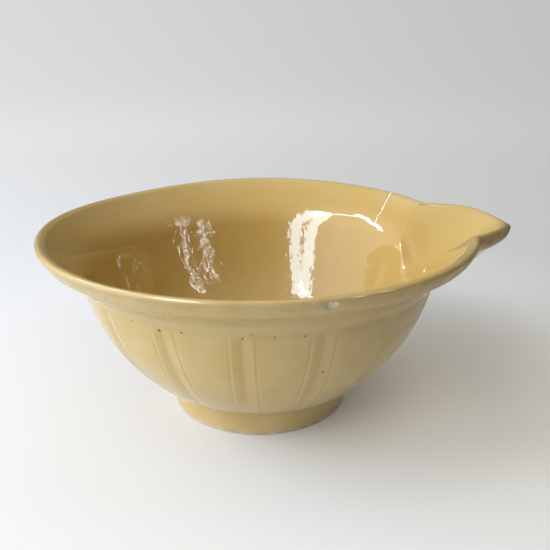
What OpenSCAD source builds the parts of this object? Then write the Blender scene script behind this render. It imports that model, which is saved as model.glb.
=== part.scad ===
// Mixing bowl with a pouring lip, in glazed earthenware.
// The bowl is one fired piece. Each module below is one region of the clay body, cut where
// a potter would name a different part, and the regions meet face to face without overlap.
// Frame: origin at the centre of the foot on the resting plane, +Z up, pouring lip along +X.

/* [Overall] */
// Outer radius of the rim
rim_r = 150; // [145:0.5:155]
// Height of the rim above the resting plane
bowl_h = 132; // [128:0.5:140]
// Distance from the bowl's axis to the tip of the pouring lip
lip_reach = 183; // [175:0.5:195]

/* [Foot ring] */
// Outer radius of the foot where it stands
foot_r = 63.5; // [60:0.5:66]
// Outer radius of the foot at its top
foot_top_r = 67; // [66:0.5:69]
// Height of the foot ring
foot_h = 18; // [16:0.5:20]
// Radius of the recess under the floor
recess_r = 53; // [48:0.5:56]
// Depth of the recess under the floor
recess_h = 12; // [8:0.5:13]
// Radius that rounds the two standing edges of the foot
foot_edge_r = 1.5; // [0.5:0.1:2]

/* [Wall] */
// Outer radius where the fluted belly begins
belly_r = 82.5; // [80:0.5:85]
// Height where the fluted belly begins
belly_z = 29; // [27:0.5:31]
// Outer radius at the top of the fluted belly
ledge_r = 122.5; // [120:0.5:125]
// Height of the ledge at the top of the fluted belly
ledge_z = 98.5; // [96:0.5:101]
// Height of the inside of the floor
floor_z = 22; // [20:0.5:24]
// Thickness of the wall at the ledge
wall_t = 7.7; // [7:0.1:9]
// How far the fluted belly stands proud of the plain collar
ledge_step = 0.8; // [0.4:0.1:1.5]

/* [Flutes] */
// Number of flutes round the belly
flute_count = 16; // [12:1:20]
// Width of a flute
flute_w = 12; // [8:0.5:16]
// Depth of a flute
flute_d = 0.8; // [0.4:0.1:1.5]

/* [Rim band] */
// Height of the band round the rim
band_h = 10.5; // [8:0.5:12]
// How far the band draws in from its top edge to its bottom edge
band_taper = 3.7; // [2:0.1:5]
// Width of the top of the rim
rim_w = 5.5; // [4:0.1:7]
// Radius of the bend inside, where the wall turns out to the rim
crease_r = 128; // [126:0.5:130]
// Depth of that bend below the rim
crease_drop = 14; // [13:0.5:15]

/* [Pouring lip] */
// How far the tip hangs below the rim
tip_drop = 6.2; // [4:0.1:10]
// Height where the lip grows out of the wall
lip_root_z = 76; // [70:0.5:82]
// Half of the angle that the lip takes up at the rim, in degrees
lip_half_angle = 20.5; // [18:0.5:22]
// Half of the angle that the lip takes up outside at its root, in degrees
root_half_angle = 13; // [12:0.5:16]
// Half of the angle that the pouring groove takes up at its lower end, in degrees
groove_half_angle = 7; // [6:0.5:9]
// Height of the edge face round the lip
lip_edge_h = 2.6; // [2.2:0.1:5]

/* [Hidden] */
$fn = 96;

outside_colour = "#c9b48a";
inside_colour = "#c79a4e";
foot_colour = "#b59a66";

curve_steps = 8;
far = 400;
overlap = 1;
// Half angle of the slice that the pouring lip fills
slice_half_angle = 22.5;
slice_steps = 40;

band_z = bowl_h - band_h;
band_r = rim_r - band_taper;
rim_edge_drop = 0.8;
crease_z = bowl_h - crease_drop;
collar_r = ledge_r - ledge_step;
inner_top_r = ledge_r - wall_t;
inner_low_r = belly_r + 5.5;
floor_flat_r = 30;
// Bottom end of the band's underside, where the collar runs into it
cove_r = band_r - 4.5;
cove_z = band_z - 1;
// Drop from the top of the rim to its outer edge, and to its inner edge
rim_round = 2.6;
rim_inner_drop = 1.2;
// Where the flare inside starts from the top of the rim
flare_start = [rim_r - rim_w - 0.7, bowl_h - rim_inner_drop];

// A point of a cubic curve through its two ends, with two handles
function cubic(a, b, c, d, t) =
    pow(1 - t, 3) * a + 3 * pow(1 - t, 2) * t * b + 3 * (1 - t) * t * t * c + pow(t, 3) * d;
function curve(a, b, c, d, steps = curve_steps) =
    [for (i = [0 : steps]) cubic(a, b, c, d, i / steps)];
// All but the last point of a list, so that two curves join without a double point
function open_end(points) = [for (i = [0 : len(points) - 2]) points[i]];

// Outlines as [radius, height] pairs
belly = curve([belly_r, belly_z], [belly_r + 23, belly_z + 22],
    [ledge_r - 7, ledge_z - 27.5], [ledge_r, ledge_z]);
collar = curve([collar_r, ledge_z], [collar_r + 1.7, ledge_z + 8],
    [cove_r - 11, cove_z - 4], [cove_r, cove_z]);
rim_outside = [[cove_r, cove_z], [band_r - 1, band_z - 0.2], [band_r, band_z + 0.6],
    [rim_r - 0.7, band_z + band_h / 2], [rim_r, bowl_h - rim_round]];
rim_top = [[rim_r, bowl_h - rim_round], [rim_r - 0.5, bowl_h - rim_edge_drop], [rim_r - 2, bowl_h],
    [rim_r - rim_w + 1, bowl_h - 0.2], flare_start];
inner_flare = curve(flare_start, [crease_r + 10.5, crease_z + 8],
    [crease_r + 5, crease_z + 3.9], [crease_r, crease_z]);
inner_collar = curve([crease_r, crease_z], [crease_r - 6, crease_z - 4.7],
    [inner_top_r + 2.5, ledge_z + 8.8], [inner_top_r, ledge_z + 1]);
inner_wall = curve([inner_top_r, ledge_z + 1], [inner_top_r - 11.5, ledge_z - 35],
    [inner_low_r, floor_z], [floor_flat_r, floor_z], 2 * curve_steps);

function point_at_height(points, z) =
    [lookup(z, [for (p = points) [p[1], p[0]]]), z];
function above(points, z) = [for (p = points) if (p[1] > z + 0.01) p];
function below(points, z) = [for (p = points) if (p[1] < z - 0.01) p];

// A ring turned from an outline
module turned(outline) {
    rotate_extrude() polygon(outline);
}

// Everything that lies inside the slice of the pouring lip, above its root
module lip_slice() {
    reach = far * tan(slice_half_angle);
    translate([0, 0, lip_root_z])
        linear_extrude(height = far) polygon([[0, 0], [far, -reach], [far, reach]]);
}

module foot_ring() {
    color(foot_colour) turned([
        [recess_r + foot_edge_r, 0], [foot_r - foot_edge_r, 0], [foot_r, foot_edge_r],
        [foot_top_r, foot_h], [recess_r, foot_h], [recess_r, foot_edge_r]
    ]);
}

module bowl_floor() {
    edge_z = point_at_height([for (p = inner_wall) [p[1], p[0]]], recess_r)[0];
    floor_points = [for (p = inner_wall) if (p[0] < recess_r) p];
    color(inside_colour) turned(concat(
        [[0, recess_h], [recess_r, recess_h], [recess_r, edge_z]],
        floor_points, [[0, floor_z]]
    ));
}

// Everything outside the bottoms of the flutes, from just over the belly's edge to the ledge
module outside_flute_bottoms() {
    turned(concat(
        [[far, ledge_z + overlap], [far, belly_z + flute_d], [belly_r + overlap, belly_z + flute_d]],
        [for (p = belly) if (p[1] > belly_z + 3 * flute_d) [p[0] - flute_d, p[1]]],
        [[ledge_r - flute_d, ledge_z + overlap]]
    ));
}

module flutes() {
    for (i = [0 : flute_count - 1])
        rotate([0, 0, (i + 0.5) * 360 / flute_count])
            intersection() {
                outside_flute_bottoms();
                translate([0, -flute_w / 2, 0]) cube([far, flute_w, far]);
            }
}

module fluted_wall() {
    edge_z = point_at_height([for (p = inner_wall) [p[1], p[0]]], recess_r)[0];
    inside = [for (p = inner_wall) if (p[0] > recess_r && p[1] < ledge_z) p];
    inside_top = point_at_height(inner_wall, ledge_z);
    color(outside_colour) difference() {
        turned(concat(
            [[recess_r, foot_h], [foot_top_r, foot_h], [foot_top_r + 2.5, foot_h + 3.5],
             [belly_r - 2, belly_z - 1.5]],
            belly, [inside_top], inside, [[recess_r, edge_z]]
        ));
        flutes();
        lip_slice();
    }
}

module plain_collar() {
    inside_low = point_at_height(inner_wall, ledge_z);
    inside_high = point_at_height(inner_flare, cove_z);
    color(outside_colour) difference() {
        turned(concat(
            collar, [inside_high], below(inner_flare, cove_z),
            [for (p = inner_collar) if (p[1] < crease_z - 0.1) p], [inside_low]
        ));
        lip_slice();
    }
}

module rim_band() {
    inside_low = point_at_height(inner_flare, cove_z);
    color(outside_colour) difference() {
        turned(concat(
            open_end(rim_outside), open_end(rim_top), above(inner_flare, cove_z), [inside_low]
        ));
        lip_slice();
    }
}

// Cumulative length along a list of points, and the point at a fraction of it
function lengths(points, i = 0, run = 0) =
    i == len(points) - 1 ? [run]
    : concat([run], lengths(points, i + 1, run + norm(points[i + 1] - points[i])));
function spaced(points, steps) =
    let (s = lengths(points), total = s[len(s) - 1])
    [for (k = [0 : steps]) [
        lookup(k * total / steps, [for (i = [0 : len(points) - 1]) [s[i], points[i][0]]]),
        lookup(k * total / steps, [for (i = [0 : len(points) - 1]) [s[i], points[i][1]]])
    ]];

tip_z = bowl_h - tip_drop;
root_outer = point_at_height(belly, lip_root_z);
root_inner = point_at_height(inner_wall, lip_root_z);
// The edge face of the lip: its foot, its top, and where the groove starts behind it
edge_foot = [lip_reach - 1.2, tip_z - lip_edge_h];
edge_top = [lip_reach, tip_z - 1.2];
groove_start = [lip_reach - 6, tip_z - 1.4];
groove_end = [lip_reach - 58, tip_z - 33];
// Steps along the outside, and along each of the two stretches of the rim
outside_steps = 2 * curve_steps;
edge_steps = 4;

// The same five stretches of outline, across the plain wall and across the middle of the lip
wall_section = concat(
    open_end(spaced(concat([root_outer], above(belly, lip_root_z), collar), outside_steps)),
    open_end(spaced(rim_outside, edge_steps)),
    open_end(spaced(rim_top, edge_steps)),
    open_end(spaced(inner_flare, curve_steps)),
    spaced(concat(inner_collar, above(inner_wall, lip_root_z), [root_inner]), curve_steps)
);
lip_section = concat(
    open_end(spaced(curve(root_outer, root_outer + [22, 1],
        edge_foot - [27, 24.5], edge_foot), outside_steps)),
    open_end(spaced([edge_foot, edge_top], edge_steps)),
    open_end(spaced([edge_top, [lip_reach - 0.6, tip_z - 0.2], [lip_reach - 2, tip_z],
        [lip_reach - 4, tip_z - 0.3], groove_start], edge_steps)),
    open_end(spaced(curve(groove_start, [lip_reach - 22, tip_z - 12],
        [lip_reach - 40, tip_z - 26], groove_end), curve_steps)),
    spaced(curve(groove_end, groove_end - [8, 3], root_inner + [3, 11], root_inner), curve_steps)
);

function smooth(t) = let (u = max(0, min(1, t))) u * u * (3 - 2 * u);
// How far the lip has grown at an angle from its middle: 0 at its sides, 1 in the middle.
// h is 0 at the root and 1 at the rim. The groove inside is narrower and steeper at its lower end.
function growth(angle, h, inside) =
    let (low = inside ? groove_half_angle : root_half_angle,
         half_angle = low + (lip_half_angle - low) * smooth((h - 0.15) / 0.7),
         steepness = 1.5 + (inside ? 0.8 : 0.1) * (1 - smooth((h - 0.6) / 0.4)))
    abs(angle) >= half_angle ? 0 : 1 - pow(abs(angle) / half_angle, steepness);
function lip_point(i, angle) =
    let (a = wall_section[i], b = lip_section[i],
         h = max(0, (a[1] - lip_root_z) / (bowl_h - lip_root_z)),
         w = growth(angle, h, i >= outside_steps + 2 * edge_steps),
         r = a[0] + (b[0] - a[0]) * w,
         z = a[1] + (b[1] - a[1]) * pow(w, 1 + 2 * h * h + 2 * pow(h, 8)))
    [r * cos(angle), r * sin(angle), z];

module pouring_lip() {
    n = len(wall_section);
    points = [for (j = [0 : slice_steps]) for (i = [0 : n - 1])
        lip_point(i, slice_half_angle * (2 * j / slice_steps - 1))];
    sides = [for (j = [0 : slice_steps - 1]) for (i = [0 : n - 1])
        let (k = (i + 1) % n, a = j * n + i, b = j * n + k, c = a + n, d = b + n)
        each [[a, b, d], [a, d, c]]];
    first_end = [for (i = [n - 1 : -1 : 0]) i];
    last_end = [for (i = [0 : n - 1]) slice_steps * n + i];
    color(outside_colour) polyhedron(points, concat(sides, [first_end, last_end]), convexity = 6);
}

foot_ring();
bowl_floor();
fluted_wall();
plain_collar();
rim_band();
pouring_lip();
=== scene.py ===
"""The looks of the mixing bowl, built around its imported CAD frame.

One formula gives the whole skin of the bowl: an outline from the middle of the foot's recess, out
round the foot, up the fluted wall, over the rim and down inside to the middle of the floor, turned
round the axis and drawn out into the pouring lip. The skin is then cut into one closed piece for
each region of the clay. Shapes are worked out in millimetres and built in metres.
"""

import math

import bpy
import numpy as np
from mathutils import Euler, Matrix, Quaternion, Vector

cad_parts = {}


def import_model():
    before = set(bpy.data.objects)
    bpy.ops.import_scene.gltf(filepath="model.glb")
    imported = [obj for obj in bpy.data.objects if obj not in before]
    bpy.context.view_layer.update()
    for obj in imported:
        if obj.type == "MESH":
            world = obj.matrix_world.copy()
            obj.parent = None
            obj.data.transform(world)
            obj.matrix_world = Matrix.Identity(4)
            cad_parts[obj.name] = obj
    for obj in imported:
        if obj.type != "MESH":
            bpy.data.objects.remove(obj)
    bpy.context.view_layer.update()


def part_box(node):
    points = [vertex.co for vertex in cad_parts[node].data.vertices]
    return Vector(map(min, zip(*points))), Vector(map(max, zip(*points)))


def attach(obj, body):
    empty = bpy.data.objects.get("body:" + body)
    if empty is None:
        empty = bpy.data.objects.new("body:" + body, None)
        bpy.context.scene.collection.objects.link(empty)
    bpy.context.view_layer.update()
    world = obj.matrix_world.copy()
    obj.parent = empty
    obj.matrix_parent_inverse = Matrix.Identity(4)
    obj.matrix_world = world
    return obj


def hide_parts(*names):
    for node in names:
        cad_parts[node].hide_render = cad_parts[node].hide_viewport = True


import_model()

MM = 0.001


def node_box(name):
    """The box of a CAD node, in millimetres."""
    return [np.array(corner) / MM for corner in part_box(name)]


# Driving sizes in millimetres: two set here, and the rest from the frame's boxes
FOOT_FLARE = 3.5
COVE_RISE = 1.0
FOOT_HIGH = node_box("foot_ring")[1]
FLOOR_LOW, FLOOR_HIGH = node_box("bowl_floor")
WALL_LOW, WALL_HIGH = node_box("fluted_wall")
BAND_LOW, BAND_HIGH = node_box("rim_band")
LIP_LOW, LIP_HIGH = node_box("pouring_lip")
RIM_R = -BAND_LOW[0]
BOWL_H = BAND_HIGH[2]
FOOT_TOP_R = FOOT_HIGH[1]
FOOT_R = FOOT_TOP_R - FOOT_FLARE
FOOT_H = FOOT_HIGH[2]
RECESS_R = FLOOR_HIGH[1]
RECESS_H = FLOOR_LOW[2]
LEDGE_R = -WALL_LOW[0]
LEDGE_Z = WALL_HIGH[2]
BAND_Z = BAND_LOW[2] + COVE_RISE
LIP_REACH = LIP_HIGH[0]
LIP_ROOT_Z = LIP_LOW[2]

# Shape of the section that the boxes don't give
BELLY_R, BELLY_Z = 82.5, 29.0
LEDGE_STEP = 0.55
FLOOR_Z = 22.0
WALL_T = 7.7
BAND_TAPER = 3.7
RIM_W = 5.5
CREST_DROP = 2.6
CREASE_R = RIM_R - 22.0
CREASE_Z = BOWL_H - 14.0
FLOOR_FLAT_R = 30.0

# Rounding of the outline's corners, with two that the glaze fills more softly
CORNER_ROUNDING = 0.55
SOFT_ROUNDING = 1.6
SOFT_REACH = 2.6
LIP_ROUNDING = 0.9

# Flutes: a shallow V between two fine incised lines, all of constant width down the wall
FLUTES = 16
FLUTE_HALF_W = 6.1
FLUTE_DEPTH = 0.8
VALLEY_ROUNDING = 0.3
LINE_X = 7.8
LINE_HALF_W = 1.2
LINE_DEPTH = 0.16
# Where the flutes end above the ledge and below the belly's start, and how they fade out there
FLUTE_PAST_LEDGE = 2.6
FLUTE_BELOW_BELLY = 2.2
FLUTE_TOP_FADE, FLUTE_FOOT_FADE = 4.0, 2.6
FLUTE_TOP_SLANT = 0.12
FLUTE_LOW_SHARE = 0.45
FLUTE_DEEPENS_OVER = 40

# Pouring lip
SLICE = math.radians(22.5)
LIP_HALF = math.radians(20.2)
LIP_LOW_HALF = math.radians(7)
LIP_WIDER_OUTSIDE = math.radians(6)
SLICE_FADE = math.radians(2)
FLUTES_LOST_IN_LIP = 0.85
TIP_DROP = 6.2
LIP_EDGE_H = 2.6

# The lip's sides, at shares of the height from its root up to the rim: where its width starts to
# grow and over how much of the height, how steep its sides are, and how softly they start
SPREAD_FROM, SPREAD_OVER = 0.15, 0.7
SIDE_POWER = 1.5
LOW_POWER_INSIDE, LOW_POWER_OUTSIDE = 0.8, 0.1
LOW_POWER_TO, LOW_POWER_FADE = 0.6, 0.4
MIDDLE_ROUNDING = 0.07
SOFT_INSIDE, SOFT_OUTSIDE = 0.14, 0.05
LOW_SOFT_INSIDE, LOW_SOFT_FADE = 0.4, 0.35


def cubic(a, b, c, d, steps=200):
    """Points of a cubic curve from a to d with handles b and c."""
    t = np.linspace(0, 1, steps + 1)[:, None]
    a, b, c, d = (np.array(p, float) for p in (a, b, c, d))
    return (1 - t) ** 3 * a + 3 * (1 - t) ** 2 * t * b + 3 * (1 - t) * t * t * c + t**3 * d


def chain(*parts):
    """Joins stretches of outline, leaving out the points that two of them share."""
    joined = [np.atleast_2d(np.array(part, float)) for part in parts]
    points = joined[0]
    for part in joined[1:]:
        start = 1 if np.allclose(part[0], points[-1]) else 0
        points = np.vstack([points, part[start:]])
    return points


def along(points):
    """Distance along a polyline at each of its points."""
    return np.concatenate([[0], np.cumsum(np.linalg.norm(np.diff(points, axis=0), axis=1))])


def at(points, distances):
    """Points of a polyline at the given distances along it."""
    s = along(points)
    return np.column_stack([np.interp(distances, s, points[:, i]) for i in range(points.shape[1])])


def rounded(points, radius, spacing=0.08):
    """The polyline with its corners rounded off, its two ends kept."""
    s = np.arange(0, along(points)[-1], spacing)
    dense = at(points, np.append(s, along(points)[-1]))
    half = int(3 * radius / spacing)
    kernel = np.exp(-0.5 * (np.arange(-half, half + 1) * spacing / radius) ** 2)
    kernel /= kernel.sum()
    before = 2 * dense[0] - dense[half:0:-1]
    after = 2 * dense[-1] - dense[-2 : -half - 2 : -1]
    padded = np.vstack([before, dense, after])
    return np.column_stack([np.convolve(padded[:, i], kernel, "valid") for i in range(2)])


BEND_WINDOW = 15
SHARPEST_BEND = 0.6


def row_places(points, count, corner_weight=26.0):
    """Distances along a stretch for its rows of vertices, closer together where it bends."""
    s = along(points)
    step = np.diff(points, axis=0)
    angle = np.unwrap(np.arctan2(step[:, 1], step[:, 0]))
    bend = np.abs(np.gradient(angle)) / np.maximum(np.diff(s), 1e-9)
    bend = np.convolve(bend, np.ones(BEND_WINDOW) / BEND_WINDOW, "same")
    density = 1.0 + corner_weight * np.minimum(bend, SHARPEST_BEND)
    total = np.concatenate([[0], np.cumsum(density * np.diff(s))])
    return np.interp(np.linspace(0, total[-1], count), total, s)


# The outline, as stretches of [radius, height] points from the recess out, up and back inside
belly = cubic((BELLY_R, BELLY_Z), (BELLY_R + 23, BELLY_Z + 22),
              (LEDGE_R - 7, LEDGE_Z - 27.5), (LEDGE_R, LEDGE_Z))
collar_r = LEDGE_R - LEDGE_STEP
band_r = RIM_R - BAND_TAPER
collar = cubic((collar_r, LEDGE_Z), (collar_r + 1.7, LEDGE_Z + 8),
               (band_r - 11, BAND_Z - 7.4), (band_r - 1.6, BAND_Z - 0.9))
inner_r = LEDGE_R - WALL_T
recess = [(0, RECESS_H), (RECESS_R, RECESS_H), (RECESS_R, 0)]
foot = [(RECESS_R, 0), (FOOT_R, 0), (FOOT_TOP_R, FOOT_H)]
underside = [(FOOT_TOP_R, FOOT_H), (FOOT_TOP_R + 3, FOOT_H + 3.6),
             (BELLY_R - 1.4, BELLY_Z - 1.6), (BELLY_R, BELLY_Z)]
band = [(band_r - 1.6, BAND_Z - 0.9), (band_r - 0.1, BAND_Z + 0.4),
        (RIM_R - 0.5, BAND_Z + 6.5), (RIM_R, BOWL_H - CREST_DROP)]
crest = cubic((RIM_R, BOWL_H - CREST_DROP), (RIM_R - 0.1, BOWL_H - 0.4),
              (RIM_R - 1.6, BOWL_H + 0.2), (RIM_R - 3.4, BOWL_H - 0.25), 20)
lip_in = (RIM_R - RIM_W - 0.7, BOWL_H - 1.4)
flare = cubic(lip_in, (CREASE_R + 10.5, CREASE_Z + 8), (CREASE_R + 5, CREASE_Z + 3.9),
              (CREASE_R, CREASE_Z))
inner_collar = cubic((CREASE_R, CREASE_Z), (CREASE_R - 6, CREASE_Z - 4.7),
                     (inner_r + 2.5, LEDGE_Z + 8.8), (inner_r, LEDGE_Z + 1))
inner_wall = cubic((inner_r, LEDGE_Z + 1), (inner_r - 11.5, LEDGE_Z - 35),
                   (BELLY_R + 5.5, FLOOR_Z), (FLOOR_FLAT_R, FLOOR_Z))
floor_line = [(FLOOR_FLAT_R, FLOOR_Z), (0, FLOOR_Z)]

corners = chain(recess, foot, underside, belly, collar, band, crest, flare, inner_collar,
                inner_wall, floor_line)
outline, softer = rounded(corners, CORNER_ROUNDING), rounded(corners, SOFT_ROUNDING)
for soft_corner in (collar[0], band[0]):
    away = np.linalg.norm(outline - soft_corner, axis=1)
    share = np.exp(-0.5 * (away / SOFT_REACH) ** 2)[:, None]
    outline = outline + share * (softer - outline)


def near(point):
    """Distance along the outline of its point nearest to the one given."""
    return along(outline)[np.argmin(np.linalg.norm(outline - np.array(point), axis=1))]


def crossing(height, after, before):
    """Distance along the outline at which it passes a height, between two other distances."""
    s = along(outline)
    inside = np.where((s > after) & (s < before))[0]
    return s[inside[np.argmin(np.abs(outline[inside, 1] - height))]]


over_recess = at(inner_wall, [np.interp(-RECESS_R, -inner_wall[:, 0], along(inner_wall))])[0]
mark = {
    "start": 0.0,
    "recess_corner": near((RECESS_R, RECESS_H)),
    "foot_top": near((FOOT_TOP_R, FOOT_H)),
    "ledge": near((collar_r, LEDGE_Z)),
    "cove": near(band[0]),
    "band_top": near((RIM_R, BOWL_H - CREST_DROP)),
    "lip_in": near(lip_in),
    "crease": near((CREASE_R, CREASE_Z)),
    "floor_in": near(over_recess),
    "end": along(outline)[-1],
}
mark["root_out"] = crossing(LIP_ROOT_Z, mark["foot_top"], mark["ledge"])
mark["cove_in"] = crossing(outline[np.argmin(np.abs(along(outline) - mark["cove"])), 1],
                           mark["lip_in"], mark["floor_in"])
mark["ledge_in"] = crossing(LEDGE_Z, mark["crease"], mark["floor_in"])
mark["root_in"] = crossing(LIP_ROOT_Z, mark["crease"], mark["floor_in"])
ROWS = [("start", "recess_corner", 10), ("recess_corner", "foot_top", 30),
        ("foot_top", "root_out", 56), ("root_out", "ledge", 22), ("ledge", "cove", 26),
        ("cove", "cove_in", 64), ("cove_in", "ledge_in", 20), ("ledge_in", "root_in", 12),
        ("root_in", "floor_in", 34), ("floor_in", "end", 20)]
row_s = [0.0]
row_of = {"start": 0}
for first, last, count in ROWS:
    s = along(outline)
    inside = outline[(s >= mark[first]) & (s <= mark[last])]
    row_s.extend(mark[first] + row_places(inside, count + 1)[1:])
    row_of[last] = len(row_s) - 1
row_s = np.array(row_s)
rows = at(outline, row_s)

# The same outline across the middle of the pouring lip
tip_z = BOWL_H - TIP_DROP
edge_foot = np.array([LIP_REACH - 1.2, tip_z - LIP_EDGE_H])
root_out = at(outline, [mark["root_out"]])[0]
root_in = at(outline, [mark["root_in"]])[0]
lip_stretches = [
    ("root_out", "cove", cubic(root_out, root_out + [22, 1], edge_foot - [27, 24.5], edge_foot)),
    ("cove", "band_top", [edge_foot, (LIP_REACH - 0.2, tip_z - 1.6)]),
    ("band_top", "lip_in", cubic((LIP_REACH - 0.2, tip_z - 1.6), (LIP_REACH + 0.2, tip_z - 0.1),
                                 (LIP_REACH - 2.2, tip_z + 0.5), (LIP_REACH - 6, tip_z - 1.4))),
    ("lip_in", "crease", cubic((LIP_REACH - 6, tip_z - 1.4), (LIP_REACH - 22, tip_z - 12),
                               (LIP_REACH - 40, tip_z - 26), (LIP_REACH - 58, tip_z - 33))),
    ("crease", "root_in", cubic((LIP_REACH - 58, tip_z - 33), (LIP_REACH - 66, tip_z - 36),
                                root_in + [3, 11], root_in)),
]
lip_line = rounded(chain(*(stretch[2] for stretch in lip_stretches)), LIP_ROUNDING)
knots_wall = [mark["root_out"]]
knots_lip = [0.0]
for first, last, points in lip_stretches:
    knots_wall.append(mark[last])
    knots_lip.append(knots_lip[-1] + along(np.array(points, float))[-1])
knots_lip = np.array(knots_lip) * along(lip_line)[-1] / knots_lip[-1]
MATCH_STEP, MATCH_PAD = 0.25, 24
fine = np.arange(knots_wall[0], knots_wall[-1], MATCH_STEP)
matched = np.interp(fine, knots_wall, knots_lip)
window = np.hanning(2 * MATCH_PAD + 1)
padded = np.pad(matched, MATCH_PAD, "reflect", reflect_type="odd")
matched = np.convolve(padded, window / window.sum(), "valid")
matched = np.clip(matched, 0, along(lip_line)[-1])
in_lip = (row_s >= mark["root_out"] - 1e-9) & (row_s <= mark["root_in"] + 1e-9)
lip_rows = rows.copy()
lip_rows[in_lip] = at(lip_line, np.interp(row_s[in_lip], fine, matched))


# Columns of vertices round the bowl. The angle of each is its base plus its offset over the radius,
# so that columns run down the sides of the flutes, which keep their width down the wall.
PITCH = 2 * math.pi / FLUTES
half_x = [0.5, 1.3, 2.6, 3.9, 5.0, 5.6, 6.1, 6.5, 6.8, 7.2, 7.5, 7.8, 8.1, 8.4, 8.8, 9.3,
          10.4]
flute_x = [-x for x in reversed(half_x)] + [0.0] + half_x
HALF_PANEL_STEPS = 7
SLICE_STEPS = 150


def column_list():
    """Bases and offsets of all columns, from one side of the lip's slice round to the other."""
    edge = flute_x[-1]
    columns = [(PITCH, 0.0)]
    for k in range(1, FLUTES - 1):
        centre = (k + 0.5) * PITCH
        for i in range(1, HALF_PANEL_STEPS):
            t = 0.5 + 0.5 * i / HALF_PANEL_STEPS
            columns.append((centre - PITCH * (1 - t), edge * (1 - 2 * t)))
        columns.extend((centre, x) for x in flute_x)
        for i in range(1, HALF_PANEL_STEPS + 1):
            t = 0.5 * i / HALF_PANEL_STEPS
            columns.append((centre + PITCH * t, edge * (1 - 2 * t)))
    last = len(columns) - 1
    for i in range(1, SLICE_STEPS):
        columns.append((2 * math.pi - SLICE + 2 * SLICE * i / SLICE_STEPS, 0.0))
    return np.array(columns), last


columns, slice_column = column_list()
n_columns = len(columns)
outside = list(range(slice_column + 1))
in_slice = list(range(slice_column, n_columns)) + [0]
all_round = list(range(n_columns)) + [0]

# Swells of the rim: the clay moved a little in drying. Azimuth, half width and height.
RIM_SWELLS = [(132, 22, -2.4), (80, 18, 1.0), (38, 13, -1.2), (19, 8, -2.9), (205, 30, -0.5)]
SWELL_FROM_Z = 62.0

# The chip in the rim's outer edge, and the height over which the foot becomes uneven
CHIP_AZIMUTH, CHIP_HALF_W = math.radians(-81.8), 4.0
CHIP_Z, CHIP_HALF_H = BOWL_H - 3.6, 3.9
CHIP_DEPTH = 1.3
CHIP_EDGE = 0.16
FOOT_EVEN_H = 6


def smooth(t):
    """0 below 0, 1 above 1, and an even curve between them."""
    t = np.clip(t, 0, 1)
    return t * t * (3 - 2 * t)


def turned_by(angle, centre):
    """Angle from a centre, between minus and plus half a turn."""
    return (angle - centre + math.pi) % (2 * math.pi) - math.pi


def lip_growth(angle, height, inner):
    """How far the lip has grown: 0 at its sides, 1 in its middle. Inside it is narrower."""
    h = np.clip((height - LIP_ROOT_Z) / (BOWL_H - LIP_ROOT_Z), 0, 1)
    low_half = np.where(inner, LIP_LOW_HALF, LIP_LOW_HALF + LIP_WIDER_OUTSIDE)
    half = low_half + (LIP_HALF - low_half) * smooth((h - SPREAD_FROM) / SPREAD_OVER)
    low_power = np.where(inner, LOW_POWER_INSIDE, LOW_POWER_OUTSIDE)
    power = SIDE_POWER + low_power * (1 - smooth((h - LOW_POWER_TO) / LOW_POWER_FADE))
    t = np.hypot(np.abs(angle) / half, MIDDLE_ROUNDING) - MIDDLE_ROUNDING
    left = 1 - t**power
    low_soft = LOW_SOFT_INSIDE * (1 - smooth((h - SPREAD_FROM) / LOW_SOFT_FADE))
    soft = np.where(inner, SOFT_INSIDE + low_soft, SOFT_OUTSIDE)
    grown = (left + np.hypot(left, soft)) / (1 + np.hypot(1, soft))
    return grown * smooth((SLICE - np.abs(angle)) / SLICE_FADE), h


def flute_depth(angle, radius, row_distance):
    """Depth of the flutes and their side lines below the wall's own surface."""
    from_centre = (angle % PITCH) - PITCH / 2
    x = np.abs(from_centre * radius)
    valley = FLUTE_DEPTH * np.clip(1 - np.hypot(x, VALLEY_ROUNDING) / FLUTE_HALF_W, 0, 1)
    line = LINE_DEPTH * np.clip(1 - ((x - LINE_X) / LINE_HALF_W) ** 2, 0, 1)
    from_top = mark["ledge"] + FLUTE_PAST_LEDGE - row_distance - FLUTE_TOP_SLANT * x
    from_foot = row_distance - (near((BELLY_R, BELLY_Z)) - FLUTE_BELOW_BELLY)
    ends = smooth(from_top / FLUTE_TOP_FADE) * smooth(from_foot / FLUTE_FOOT_FADE)
    deepening = smooth(from_foot / FLUTE_DEEPENS_OVER)
    return (valley + line) * ends * (FLUTE_LOW_SHARE + (1 - FLUTE_LOW_SHARE) * deepening)


tangent = np.gradient(outline, along(outline), axis=0)
row_tangent = np.column_stack([np.interp(row_s, along(outline), tangent[:, i]) for i in range(2)])
row_tangent /= np.linalg.norm(row_tangent, axis=1)[:, None]
row_normal = np.column_stack([row_tangent[:, 1], -row_tangent[:, 0]])

# The inner seam row where foot, floor and wall meet inside the clay
rows = np.vstack([rows, [RECESS_R, FOOT_H]])
lip_rows = np.vstack([lip_rows, rows[-1]])
row_normal = np.vstack([row_normal, [0, 0]])
row_s = np.append(row_s, 0.0)
hidden_row = len(rows) - 1
outer_row = row_s < mark["band_top"]

steer = np.where(outer_row, np.clip(rows[:, 0], BELLY_R, LEDGE_R), LEDGE_R)
angles = columns[None, :, 0] + columns[None, :, 1] / steer[:, None]


def sector(azimuth, width):
    """1 at an azimuth and fading to 0 beside it, both in degrees."""
    return np.exp(-0.5 * (turned_by(angles, math.radians(azimuth)) / math.radians(width)) ** 2)


radii = np.repeat(rows[:, :1], n_columns, axis=1)
heights = np.repeat(rows[:, 1:], n_columns, axis=1)
distance = np.repeat(row_s[:, None], n_columns, axis=1)

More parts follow.
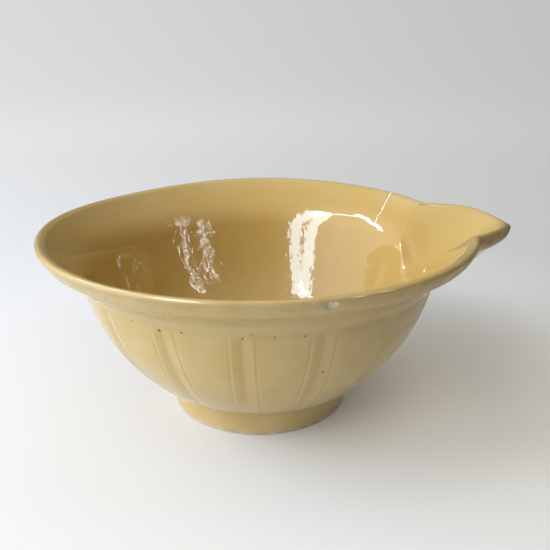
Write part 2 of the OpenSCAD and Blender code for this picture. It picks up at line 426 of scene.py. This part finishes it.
growth, h = lip_growth(turned_by(angles, 0), heights, distance > mark["lip_in"])
row_ids = np.arange(len(rows))
shaped = (row_ids >= row_of["root_out"]) & (row_ids <= row_of["root_in"])
growth = np.where(shaped[:, None], growth, 0)
sink = flute_depth(angles, radii, distance) * (1 - FLUTES_LOST_IN_LIP * growth)
sink[hidden_row] = 0

# The wall isn't quite even: waves round the bowl and up it, each with its depth
WAVES = ((2, 1, 0.16), (3, 2, 0.12), (5, 3, 0.08), (7, 5, 0.05), (9, 4, 0.04))
WAVE_LENGTH = 60
rng = np.random.default_rng(7)
uneven = np.zeros_like(angles)
for turns, waves, depth in WAVES:
    phase = rng.uniform(0, 2 * math.pi, 2)
    rise = np.cos(waves * distance / WAVE_LENGTH + phase[1])
    uneven += depth * np.cos(turns * angles + phase[0]) * rise
uneven *= smooth(radii / 60) * smooth(heights / FOOT_EVEN_H)
uneven[hidden_row] = 0

chip_x = turned_by(angles, CHIP_AZIMUTH) * RIM_R / CHIP_HALF_W
chip_z = (heights - CHIP_Z) / CHIP_HALF_H
ragged = (1 + 0.16 * np.sin(3.1 * chip_x * CHIP_HALF_W + 1)
          + 0.12 * np.sin(5.3 * chip_z * CHIP_HALF_H))
chip = smooth((ragged - np.hypot(chip_x, chip_z)) / CHIP_EDGE) * outer_row[:, None]
push = uneven - sink - CHIP_DEPTH * chip

radii = radii + push * row_normal[:, :1]
heights = heights + push * row_normal[:, 1:]
lip_r = radii + (lip_rows[:, :1] - rows[:, :1]) * growth
droop = growth ** (1 + 2 * h * h + 2 * h**8)
lip_z = heights + (lip_rows[:, 1:] - rows[:, 1:]) * droop
swell = sum(height * sector(azimuth, width) for azimuth, width, height in RIM_SWELLS)
lip_z = lip_z + swell * smooth((lip_z - SWELL_FROM_Z) / (BOWL_H - SWELL_FROM_Z))

grid = np.stack([lip_r * np.cos(angles), lip_r * np.sin(angles), lip_z], axis=-1)
across = np.roll(grid, -1, axis=1) - np.roll(grid, 1, axis=1)
up = np.gradient(grid[:hidden_row], axis=0)
normals = np.zeros_like(grid)
normals[:hidden_row] = np.cross(across[:hidden_row], up)
normals[0] = (0, 0, -1)
normals[hidden_row - 1] = (0, 0, 1)
normals[hidden_row] = (0, 0, 1)
normals /= np.maximum(np.linalg.norm(normals, axis=-1), 1e-12)[..., None]

# Attributes that the glaze reads: where it runs thin, where it is matt, where painted shade darkens
# the hollows, how far inside the bowl it is, and where bare clay shows


def band_at(distance_to, half_width):
    """1 on a line across the outline and fading to 0 beside it."""
    return np.exp(-0.5 * ((distance - distance_to) / half_width) ** 2)


lip_side = sector(-8, 30)
foot_edge, foot_joint, recess_edge = near((FOOT_R, 0)), mark["foot_top"], near((RECESS_R, 0))
thin = 1.6 * band_at(foot_edge + 0.4, 1.0)
thin = thin + 0.25 * band_at(mark["band_top"] - 1.5, 2.4) * (1 - lip_side)
thin = thin + 1.2 * band_at(mark["band_top"] - 3.0, 3.0) * lip_side
# Painted shade: darker in the flute valleys, in the crease under the belly above the foot, and just
# above the ledge.
hollow_shade = np.clip(sink / FLUTE_DEPTH, 0, 1) + 0.6 * band_at(foot_joint + 1, 2.5)
hollow_shade = hollow_shade + 0.2 * band_at(mark["ledge"] + 0.8, 1.0)
matt = 0.35 * band_at(mark["band_top"] + 1.2, 2.2) * sector(-118, 26)
matt = matt + band_at(mark["cove"], 2.2)
bare = chip + 0.9 * band_at(recess_edge, 1.5) + 0.9 * band_at(foot_edge - 3, 3)
marks = {
    "thin": np.clip(thin, 0, 1),
    "matt": np.clip(matt, 0, 1),
    "hollow_shade": np.clip(hollow_shade, 0, 1),
    "inside": smooth((distance - mark["band_top"]) / (mark["crease"] - mark["band_top"])),
    "bare": np.clip(bare, 0, 1),
}


class Skin:
    """Collects the faces of one closed piece out of the rows and columns of the grid."""

    def __init__(self):
        self.faces = []
        self.glazed = []

    def corner(self, row, column):
        column = column % n_columns
        if row in (0, hidden_row - 1):
            column = 0
        return row * n_columns + column

    def sweep(self, loop, over, closed):
        """Joins rows of a loop over a run of columns. Neighbouring rows have glaze between."""
        steps = list(zip(loop, loop[1:] + loop[:1])) if closed else list(zip(loop, loop[1:]))
        for row, after in steps:
            skin = after == row + 1 and after < hidden_row
            for j, k in zip(over, over[1:]):
                face = [self.corner(row, j), self.corner(row, k), self.corner(after, k),
                        self.corner(after, j)]
                face = [c for i, c in enumerate(face) if c != face[i - 1]]
                if len(face) > 2:
                    self.faces.append(face)
                    self.glazed.append(skin)

    def end(self, loop, column, first):
        """Closes a run of columns with a flat face across the clay."""
        face = [self.corner(row, column) for row in loop]
        self.faces.append(face if first else face[::-1])
        self.glazed.append(False)

    def build(self, name):
        """The mesh object, with the whole skin's normals, so that no joint shows in the gloss."""
        used = np.unique(np.concatenate([np.array(f) for f in self.faces]))
        new_id = np.full(grid.shape[0] * n_columns, -1)
        new_id[used] = np.arange(len(used))
        mesh = bpy.data.meshes.new(name)
        mesh.from_pydata((grid.reshape(-1, 3)[used] * MM).tolist(), [],
                         [new_id[f].tolist() for f in self.faces])
        mesh.validate(verbose=False)
        mesh.polygons.foreach_set("use_smooth", [True] * len(mesh.polygons))
        for label, values in marks.items():
            layer = mesh.attributes.new(label, "FLOAT", "POINT")
            layer.data.foreach_set("value", values.reshape(-1)[used].astype(np.float32))
        flat_normals = normals.reshape(-1, 3)
        split = np.zeros((len(mesh.loops), 3))
        for polygon, face, skin in zip(mesh.polygons, self.faces, self.glazed):
            span = slice(polygon.loop_start, polygon.loop_start + polygon.loop_total)
            split[span] = flat_normals[face] if skin else polygon.normal
        mesh.normals_split_custom_set(split.tolist())
        piece = bpy.data.objects.new(name, mesh)
        bpy.context.scene.collection.objects.link(piece)
        return piece


def run(first, last):
    """Rows from one mark to another."""
    return list(range(row_of[first], row_of[last] + 1))


def foot_ring():
    skin = Skin()
    skin.sweep(run("recess_corner", "foot_top") + [hidden_row], all_round, True)
    return skin


def bowl_floor():
    skin = Skin()
    loop = run("start", "recess_corner") + [hidden_row] + run("floor_in", "end")
    skin.sweep(loop, all_round, False)
    return skin


def fluted_wall():
    skin = Skin()
    beside_lip = run("foot_top", "ledge") + run("ledge_in", "floor_in") + [hidden_row]
    below_lip = run("foot_top", "root_out") + run("root_in", "floor_in") + [hidden_row]
    skin.sweep(beside_lip, outside, True)
    skin.sweep(below_lip, in_slice, True)
    notch = run("root_out", "ledge") + run("ledge_in", "root_in")
    skin.end(notch, 0, True)
    skin.end(notch, slice_column, False)
    return skin


def ring_piece(loop, over):
    """A piece with the same section over a run of columns, closed at both ends."""
    skin = Skin()
    skin.sweep(loop, over, True)
    skin.end(loop, over[0], True)
    skin.end(loop, over[-1], False)
    return skin


pieces = {
    "foot_ring": foot_ring(),
    "bowl_floor": bowl_floor(),
    "fluted_wall": fluted_wall(),
    "plain_collar": ring_piece(run("ledge", "cove") + run("cove_in", "ledge_in"), outside),
    "rim_band": ring_piece(run("cove", "cove_in"), outside),
    "pouring_lip": ring_piece(run("root_out", "root_in"), in_slice),
}


# Node helpers


class Nodes:
    """Builds a node tree with short calls."""

    def __init__(self, tree):
        self.tree = tree
        tree.nodes.clear()

    def feed(self, socket, value):
        """Links another socket to this one, or sets a plain number or colour on it."""
        if isinstance(value, bpy.types.NodeSocket):
            self.tree.links.new(value, socket)
        else:
            socket.default_value = value

    def add(self, kind, inputs=None, **settings):
        node = self.tree.nodes.new(kind)
        for name, value in settings.items():
            setattr(node, name, value)
        for key, value in (inputs or {}).items():
            self.feed(node.inputs[key], value)
        return node

    def math(self, operation, a, b=0.0, clamp=False):
        node = self.add("ShaderNodeMath", {0: a, 1: b}, operation=operation, use_clamp=clamp)
        return node.outputs[0]

    def mask(self, value, low, high):
        """0 at low, 1 at high, smooth between."""
        inputs = {"Value": value, "From Min": low, "From Max": high}
        node = self.add("ShaderNodeMapRange", inputs, interpolation_type="SMOOTHSTEP")
        return node.outputs["Result"]

    def mix(self, share, a, b):
        """Mixes two colours."""
        inputs = {"Factor": share, "A": a, "B": b}
        node = self.tree.nodes.new("ShaderNodeMix")
        node.data_type = "RGBA"
        for socket in node.inputs:
            wanted = "VALUE" if socket.name == "Factor" else "RGBA"
            if socket.name in inputs and socket.type == wanted:
                self.feed(socket, inputs[socket.name])
        return [o for o in node.outputs if o.type == "RGBA"][0]

    def noise(self, place, scale, detail=3.0, roughness=0.5):
        inputs = {"Vector": place, "Scale": scale, "Detail": detail, "Roughness": roughness}
        return self.add("ShaderNodeTexNoise", inputs).outputs["Fac"]

    def attribute(self, name):
        return self.add("ShaderNodeAttribute", attribute_name=name).outputs["Fac"]


# Materials

BUFF = (0.462, 0.330, 0.116, 1)
BUFF_DEEP = (0.448, 0.278, 0.058, 1)
BUFF_PALE = (0.492, 0.372, 0.162, 1)
HOLLOW_SHADE_COLOUR = (0.36, 0.21, 0.06, 1)
WORN = (0.20, 0.115, 0.04, 1)
IRON = (0.075, 0.045, 0.02, 1)
CLAY = (0.78, 0.75, 0.70, 1)
CLAY_DARK = (0.60, 0.55, 0.48, 1)

# Iron specks that stand out: azimuth in degrees, height and radius in millimetres
SPECKS = [(-131, 123.2, 0.7), (-134, 100, 0.7), (-124.5, 98, 1.1), (-117.5, 99.4, 0.8),
          (-101, 98.4, 0.7), (-98.5, 102, 0.6), (-92.5, 99.6, 0.6), (-84.5, 99, 0.7),
          (-77, 69, 0.9), (-46, 84, 0.8), (65, 74, 0.8), (-170, 60, 0.9)]

# Hairline crack inside the rim: azimuth in degrees and height in millimetres at its two ends
CRACK_LOW = (31.8, 109.6)
CRACK_HIGH = (35.0, 133.0)
CRACK_HALF_W = 0.42
CRACK_WANDER = 5.0

# Scales of the noises in the glaze, in cells for each metre
CLOUD_SCALE = 14.0
MOTTLE_SCALE = 90.0
GRAIN_SCALE = 900.0
CRACK_SCALE = 110.0
SMALL_SPECK_SCALE = 62.0
RIPPLE_SCALE = 60.0
FINE_RIPPLE_SCALE = 215.0
PIT_SCALE = 230.0
ZONE_SCALE = 9.0

GLAZE_IOR = 1.52
RIPPLE_HEIGHT = 0.6
RIPPLE_STRENGTH = 0.35
# The glaze ripples most round this azimuth, in radians
ROUGH_AZIMUTH = math.radians(112)


def polar(nodes, place):
    """Azimuth, radius and height of a point of the skin."""
    parts = nodes.add("ShaderNodeSeparateXYZ", {0: place}).outputs
    square = nodes.math("ADD", nodes.math("MULTIPLY", parts[0], parts[0]),
                        nodes.math("MULTIPLY", parts[1], parts[1]))
    return nodes.math("ARCTAN2", parts[1], parts[0]), nodes.math("SQRT", square), parts[2]


def crack_masks(nodes, azimuth, radius, z, wander):
    """The open line of the crack and the dark stain beside it."""
    turn = math.radians(CRACK_HIGH[0] - CRACK_LOW[0]) / ((CRACK_HIGH[1] - CRACK_LOW[1]) * MM)
    line = nodes.math("MULTIPLY_ADD", z, turn)
    line.node.inputs[2].default_value = math.radians(CRACK_LOW[0]) - turn * CRACK_LOW[1] * MM
    off = nodes.math("MULTIPLY", nodes.math("SUBTRACT", azimuth, line), radius)
    sway = nodes.math("MULTIPLY", nodes.math("SUBTRACT", wander, 0.5), CRACK_WANDER * MM)
    off = nodes.math("ADD", off, sway)
    low_end = nodes.mask(z, (CRACK_LOW[1] - 0.5) * MM, (CRACK_LOW[1] + 0.5) * MM)
    half_w = CRACK_HALF_W * MM
    line_mask = nodes.mask(nodes.math("ABSOLUTE", off), 1.5 * half_w, 0.8 * half_w)
    aside = nodes.math("ABSOLUTE", nodes.math("SUBTRACT", off, 2.0 * half_w))
    stain = nodes.mask(aside, 1.6 * half_w, 0.3 * half_w)
    return nodes.math("MULTIPLY", line_mask, low_end), nodes.math("MULTIPLY", stain, low_end)


def speck_mask(nodes, azimuth, radius, z):
    """Dark round specks at their own places on the skin."""
    total = None
    for degrees, height, size in SPECKS:
        off = nodes.math("SUBTRACT", azimuth, math.radians(degrees))
        side = nodes.math("MULTIPLY", off, radius)
        rise = nodes.math("SUBTRACT", z, height * MM)
        square = nodes.math("ADD", nodes.math("MULTIPLY", side, side),
                            nodes.math("MULTIPLY", rise, rise))
        spot = nodes.mask(nodes.math("SQRT", square), 1.15 * size * MM, 0.5 * size * MM)
        total = spot if total is None else nodes.math("MAXIMUM", total, spot)
    return total


def glaze(name):
    """Glossy buff glaze with painted shade in its hollows and partly inside the bowl, thin brown
    edges, specks, a crack and bare clay.
    """
    material = bpy.data.materials.new(name)
    material.use_nodes = True
    nodes = Nodes(material.node_tree)
    place = nodes.add("ShaderNodeTexCoord").outputs["Object"]
    cloud = nodes.noise(place, CLOUD_SCALE, 4.0, 0.55)
    mottle = nodes.noise(place, MOTTLE_SCALE, 3.0, 0.6)
    grain = nodes.noise(place, GRAIN_SCALE, 2.0, 0.5)
    thin = nodes.attribute("thin")
    hollow_shade = nodes.attribute("hollow_shade")
    inside = nodes.attribute("inside")
    bare = nodes.attribute("bare")
    matt = nodes.attribute("matt")

    colour = nodes.mix(nodes.mask(cloud, 0.32, 0.68), BUFF, BUFF_PALE)
    # Deeper colour inside the bowl: partly the glaze's own, partly painted shade of the hollow.
    colour = nodes.mix(nodes.math("MULTIPLY", inside, 0.62), colour, BUFF_DEEP)
    blotch = nodes.math("MULTIPLY", nodes.mask(mottle, 0.4, 0.75), 0.18)
    colour = nodes.mix(blotch, colour, BUFF_DEEP)
    # Painted shade in the hollows
    colour = nodes.mix(nodes.math("MULTIPLY", hollow_shade, 0.16), colour, HOLLOW_SHADE_COLOUR)
    broken = nodes.math("MULTIPLY", thin, nodes.mask(mottle, 0.25, 0.6))
    colour = nodes.mix(nodes.math("MULTIPLY", broken, 0.75), colour, WORN)

    seeds = nodes.add("ShaderNodeTexVoronoi", {"Vector": place, "Scale": SMALL_SPECK_SCALE},
                      feature="F1")
    pick = nodes.add("ShaderNodeSeparateColor", {0: seeds.outputs["Color"]}).outputs[0]
    small = nodes.mask(seeds.outputs["Distance"], 0.036, 0.016)
    small = nodes.math("MULTIPLY", small, nodes.math("GREATER_THAN", pick, 0.86))
    azimuth, radius, z = polar(nodes, place)
    specks = nodes.math("MAXIMUM", nodes.math("MULTIPLY", small, 0.8),
                        speck_mask(nodes, azimuth, radius, z))
    colour = nodes.mix(specks, colour, IRON)
    wander = nodes.noise(place, CRACK_SCALE, 3.0, 0.7)
    crack, stain = crack_masks(nodes, azimuth, radius, z, wander)
    colour = nodes.mix(nodes.math("MULTIPLY", stain, 0.55), colour, WORN)
    colour = nodes.mix(nodes.math("MULTIPLY", crack, 0.9), colour, CLAY)

    clay = nodes.mix(nodes.mask(grain, 0.35, 0.7), CLAY, CLAY_DARK)
    clay = nodes.mix(nodes.math("MULTIPLY", nodes.mask(mottle, 0.3, 0.7), 0.3), clay, BUFF)
    colour = nodes.mix(bare, colour, clay)

    roughness = nodes.math("ADD", 0.015, nodes.math("MULTIPLY", mottle, 0.03))
    roughness = nodes.math("ADD", roughness, nodes.math("MULTIPLY", thin, 0.6))
    roughness = nodes.math("ADD", roughness, nodes.math("MULTIPLY", matt, 0.3))
    roughness = nodes.math("ADD", roughness, nodes.math("MULTIPLY", bare, 0.6), clamp=True)

    rough_zone = nodes.mask(nodes.noise(place, ZONE_SCALE, 2.0, 0.5), 0.45, 0.62)
    around = nodes.math("ABSOLUTE", nodes.math("SUBTRACT", azimuth, ROUGH_AZIMUTH))
    rough_zone = nodes.math("MAXIMUM", nodes.math("MULTIPLY", rough_zone, 0.35),
                            nodes.mask(around, 0.42, 0.2))
    pits = nodes.add("ShaderNodeTexVoronoi", {"Vector": place, "Scale": PIT_SCALE},
                     feature="SMOOTH_F1")
    dimple = nodes.mask(pits.outputs["Distance"], 0.10, 0.6)
    relief = nodes.math("MULTIPLY", nodes.noise(place, RIPPLE_SCALE, 2.0, 0.5), 0.9)
    fine = nodes.math("ADD", nodes.math("MULTIPLY", dimple, 0.10),
                      nodes.noise(place, FINE_RIPPLE_SCALE, 2.0, 0.5))
    fine_share = nodes.math("ADD", 0.06, nodes.math("MULTIPLY", rough_zone, 1.8))
    relief = nodes.math("ADD", relief, nodes.math("MULTIPLY", fine, fine_share))
    gritty = nodes.math("MULTIPLY", nodes.math("MULTIPLY", bare, grain), 0.6)
    relief = nodes.math("ADD", relief, gritty)
    relief = nodes.math("SUBTRACT", relief, nodes.math("MULTIPLY", specks, 0.25))
    relief = nodes.math("SUBTRACT", relief, nodes.math("MULTIPLY", crack, 0.8))
    bump = nodes.add("ShaderNodeBump", {
        "Strength": RIPPLE_STRENGTH, "Distance": RIPPLE_HEIGHT * MM, "Height": relief})
    shader = nodes.add("ShaderNodeBsdfPrincipled", {
        "Base Color": colour, "Roughness": roughness, "IOR": GLAZE_IOR,
        "Normal": bump.outputs["Normal"]})
    nodes.add("ShaderNodeOutputMaterial", {"Surface": shader.outputs[0]})
    return material


glazed = glaze("buff_glaze")
for node_name, skin in pieces.items():
    piece = skin.build("glazed_" + node_name)
    piece.data.materials.append(glazed)
    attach(piece, "root")
    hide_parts(node_name)


# Floor, light and camera


def turned_surface(name, section, sides, material):
    """A smooth surface turned from radii and heights. A radius of 0 comes first, if at all."""
    points = []
    rings = []
    for radius, height in section:
        rings.append(len(points))
        count = sides if radius else 1
        for k in range(count):
            turn = 2 * math.pi * k / sides
            points.append((radius * math.cos(turn), radius * math.sin(turn), height))
    faces = []
    for (low, high), (radius, _) in zip(zip(rings, rings[1:]), section):
        for k in range(sides):
            after = (k + 1) % sides
            first = [low + k, low + after] if radius else [low]
            faces.append([first[0], high + k, high + after] + first[1:])
    mesh = bpy.data.meshes.new(name)
    mesh.from_pydata(points, [], faces)
    mesh.polygons.foreach_set("use_smooth", [True] * len(mesh.polygons))
    mesh.materials.append(material)
    surface = bpy.data.objects.new(name, mesh)
    bpy.context.scene.collection.objects.link(surface)
    return surface


# The floor's pale colour, and the darker colour of its painted shade and shadow
CARD = (0.725, 0.73, 0.722, 1)
CARD_IN_PAINTED_SHADE = (0.48, 0.485, 0.475, 1)
CARD_RADIUS = 0.6


def studio():
    """A pale floor and a round wall. Far off both glow, more on the left than on the right. Nearer
    in, the floor has painted shade towards the right, a painted shadow round the bowl and a painted
    warm glow beside the lip.
    """
    material = bpy.data.materials.new("pale_studio")
    material.use_nodes = True
    nodes = Nodes(material.node_tree)
    place = nodes.add("ShaderNodeTexCoord").outputs["Object"]
    azimuth, radius, _ = polar(nodes, place)
    sideways = nodes.add("ShaderNodeSeparateXYZ", {0: place}).outputs[1]
    leftward = nodes.math("MULTIPLY", nodes.math("COSINE", azimuth), -1.0)
    far = nodes.mask(radius, 0.45, 1.5)
    shade = nodes.math("ADD", 0.725, nodes.math("MULTIPLY", leftward, 0.24))
    fall = nodes.math("SUBTRACT", 1.06, nodes.math("MULTIPLY", radius, 0.05))
    shade = nodes.math("MULTIPLY", shade, fall)
    glow = nodes.add("ShaderNodeEmission", {"Color": (0.99, 1.0, 0.985, 1), "Strength": shade})
    # Painted shadow of the bowl: a ring on the floor round it, left out in front and strongest on
    # the right.
    painted_bowl_shadow = nodes.math("MULTIPLY", nodes.mask(radius, 0.11, 0.19),
                         nodes.mask(radius, 0.31, 0.21))
    painted_bowl_shadow = nodes.math("MULTIPLY", painted_bowl_shadow, nodes.mask(sideways, -0.16, -0.08))
    # Painted shade: the floor darker further out and towards the right, as though lit from the
    # left, with the painted shadow added.
    painted_floor_shade = nodes.math("ADD", nodes.math("MULTIPLY", nodes.mask(radius, 0.2, 0.5), 0.38),
                      nodes.math("MULTIPLY", painted_bowl_shadow, 0.30))
    painted_floor_shade = nodes.math("MULTIPLY", painted_floor_shade, nodes.math("SUBTRACT", 1.0, leftward))
    colour = nodes.mix(painted_floor_shade, CARD, CARD_IN_PAINTED_SHADE)
    # Painted bounce light: the floor glows warm beside the pouring lip, lifting the shade there.
    from_lip = nodes.add("ShaderNodeVectorMath", {0: place, 1: (0.17, -0.02, 0.0)},
                         operation="DISTANCE").outputs["Value"]
    painted_bounce_glow = nodes.math("MULTIPLY", nodes.mask(from_lip, 0.19, 0.03), 0.12)
    card = nodes.add("ShaderNodeBsdfPrincipled", {
        "Base Color": colour, "Roughness": 0.7,
        "Emission Color": (1.0, 0.94, 0.84, 1), "Emission Strength": painted_bounce_glow})
    shader = nodes.add("ShaderNodeMixShader", {0: far, 1: card.outputs[0], 2: glow.outputs[0]})
    nodes.add("ShaderNodeOutputMaterial", {"Surface": shader.outputs[0]})
    flat, bend, top, steps, sides = 2.4, 1.2, 3.4, 16, 96
    turned_surface("floor", [(0, 0), (0.3, 0), (CARD_RADIUS, 0)], sides, material)
    section = [(CARD_RADIUS, 0), (1.3, 0)]
    for i in range(steps + 1):
        turn = 0.5 * math.pi * i / steps
        section.append((flat + bend * math.sin(turn), bend * (1 - math.cos(turn))))
    wall = turned_surface("wall", section + [(flat + bend, top)], sides, material)
    wall.visible_diffuse = False
    wall.visible_glossy = False
    wall.visible_shadow = False


LIGHTS_AIM = Vector((0, 0, 0.09))


def area_light(name, azimuth, height, distance, width, tall, radiance, roll, colour):
    """A rectangular light at an azimuth and a height in degrees round the bowl, facing it."""
    data = bpy.data.lights.new(name, "AREA")
    data.shape = "RECTANGLE"
    data.size = width
    data.size_y = tall
    data.energy = radiance * math.pi * width * tall
    data.color = colour
    lamp = bpy.data.objects.new(name, data)
    turn, rise = math.radians(azimuth), math.radians(height)
    level = math.cos(rise)
    away = Vector((math.cos(turn) * level, math.sin(turn) * level, math.sin(rise)))
    lamp.location = LIGHTS_AIM + distance * away
    facing = (-away).to_track_quat("-Z", "Y") @ Quaternion((0, 0, 1), math.radians(roll))
    lamp.rotation_euler = facing.to_euler()
    bpy.context.scene.collection.objects.link(lamp)
    return lamp


def world():
    """Soft light: a wide low glow from the left, some from above and little from the right."""
    scene_world = bpy.data.worlds.new("studio")
    bpy.context.scene.world = scene_world
    scene_world.use_nodes = True
    nodes = Nodes(scene_world.node_tree)
    direction = nodes.add("ShaderNodeTexCoord").outputs["Generated"]
    up = nodes.add("ShaderNodeSeparateXYZ", {0: direction}).outputs[2]
    toward = nodes.add("ShaderNodeVectorMath", {0: direction, 1: (-0.965, -0.10, 0.24)},
                       operation="DOT_PRODUCT")
    left = nodes.mask(toward.outputs["Value"], 0.45, 1.0)
    above = nodes.math("ADD", 0.09, nodes.math("MULTIPLY", nodes.mask(up, 0.3, 1.0), 0.85))
    left = nodes.math("MULTIPLY", left, 2.0)
    strength = nodes.math("ADD", above, left)
    left_share = nodes.math("DIVIDE", left, strength)
    colour = nodes.mix(left_share, (1.0, 0.95, 0.84, 1), (0.93, 1.0, 1.12, 1))
    background = nodes.add("ShaderNodeBackground", {"Color": colour, "Strength": strength})
    nodes.add("ShaderNodeOutputWorld", {"Surface": background.outputs[0]})


# Lights, each with its azimuth, height, distance, width, length, radiance, roll and colour. The
# first ones give soft light alone, and the others the bright shapes in the gloss alone.
DAYLIGHT = (0.80, 1.0, 1.15)
LAMPLIGHT = (1.0, 0.96, 0.92)
SOFT_LIGHTS = (
    ("left_window", 173, 25, 1.9, 1.3, 0.9, 4.8, 0, (0.87, 1.0, 1.38)),
    ("front_high", -135, 38, 1.8, 0.9, 0.7, 3.2, 0, (1.0, 0.94, 0.86)),
    ("front_fill", -140, 11, 1.8, 1.0, 0.7, 3.0, 0, (1.0, 0.90, 0.76)),
)
GLOSS_LIGHTS = (
    ("pane_a", -133.2, 35, 1.7, 0.27, 1.8, 11.0, 22, DAYLIGHT),
    ("pane_b", -145.9, 35, 1.7, 0.27, 1.8, 11.0, 22, DAYLIGHT),
    ("pane_top", -177, 55, 1.7, 1.3, 0.06, 14.0, 0, DAYLIGHT),
    ("pane_right", 155, 45, 1.7, 0.12, 0.66, 34.0, 0, DAYLIGHT),
    ("slit_a", -30, 30, 1.9, 0.02, 1.4, 62.0, -12, LAMPLIGHT),
    ("slit_b", -50, 25, 1.9, 0.025, 1.1, 62.0, -12, LAMPLIGHT),
)
CAMERA_LENS, CAMERA_SENSOR = 45.8, 36
CAMERA_PLACE = (-0.0532, -0.4711, 0.2621)
CAMERA_TURN = (70.32, 0.1, -7.85)

studio()
world()
for light in SOFT_LIGHTS:
    area_light(*light).visible_glossy = False
for light in GLOSS_LIGHTS:
    area_light(*light).visible_diffuse = False

camera_data = bpy.data.cameras.new("camera")
camera_data.lens = CAMERA_LENS
camera_data.sensor_width = CAMERA_SENSOR
camera = bpy.data.objects.new("camera", camera_data)
camera.location = CAMERA_PLACE
camera.rotation_euler = Euler([math.radians(angle) for angle in CAMERA_TURN], "XYZ")
bpy.context.scene.collection.objects.link(camera)
bpy.context.scene.camera = camera
bpy.context.scene.view_settings.view_transform = "Standard"
